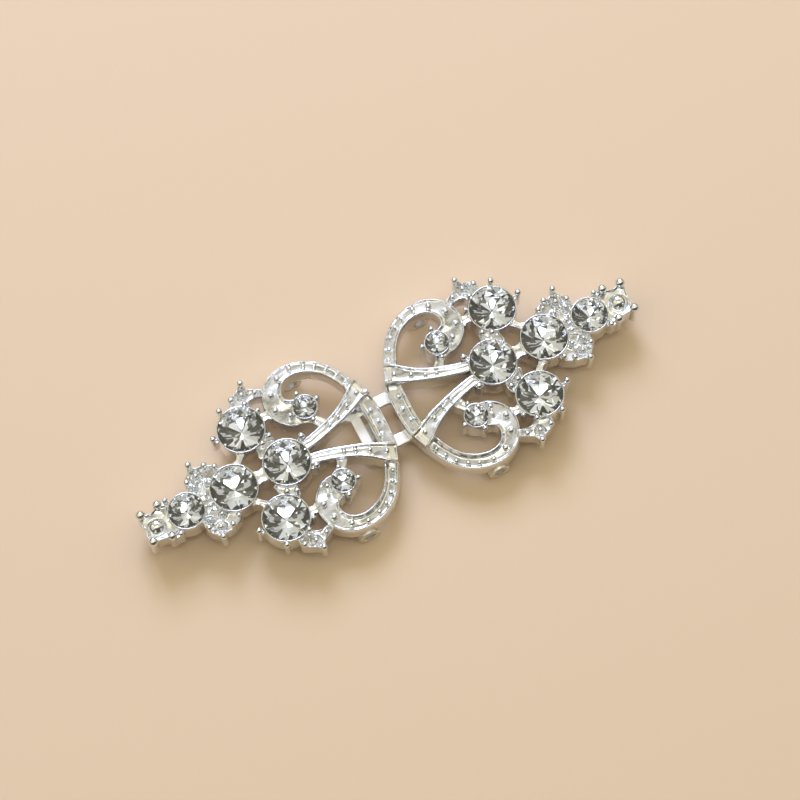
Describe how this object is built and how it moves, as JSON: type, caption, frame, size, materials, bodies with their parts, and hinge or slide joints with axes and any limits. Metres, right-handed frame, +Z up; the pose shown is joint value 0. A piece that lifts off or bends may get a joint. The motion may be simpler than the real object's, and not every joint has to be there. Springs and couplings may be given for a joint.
{
  "type": "cardigan clip",
  "caption": "Two matching pierced scrollwork castings set with clear foil-backed stones, joined by a flat eye and a hook, with sewing rings under the scrolls.",
  "frame": {"origin": "middle of the clip's length and width, on the surface that the sewing rings rest on", "axes": "+X along the clip towards the tip of the half that has the eye, +Z up out of the stones, +Y to the far side"},
  "size_m": [0.0706, 0.0256, 0.0066],
  "materials": {
    "silver_plate": "bright silver plating over a zinc alloy casting, polished",
    "crystal": "clear cut glass with a silver foil back"
  },
  "bodies": {
    "root": {"left_casting": "silver_plate", "right_casting": "silver_plate", "left_stone_first": "crystal", "left_stone_second": "crystal", "left_stone_tip": "crystal", "left_stone_side_near": "crystal", "left_stone_side_far": "crystal", "left_stone_scroll_near": "crystal", "left_stone_scroll_far": "crystal", "right_stone_first": "crystal", "right_stone_second": "crystal", "right_stone_tip": "crystal", "right_stone_side_near": "crystal", "right_stone_side_far": "crystal", "right_stone_scroll_near": "crystal", "right_stone_scroll_far": "crystal"}
  },
  "joints": []
}
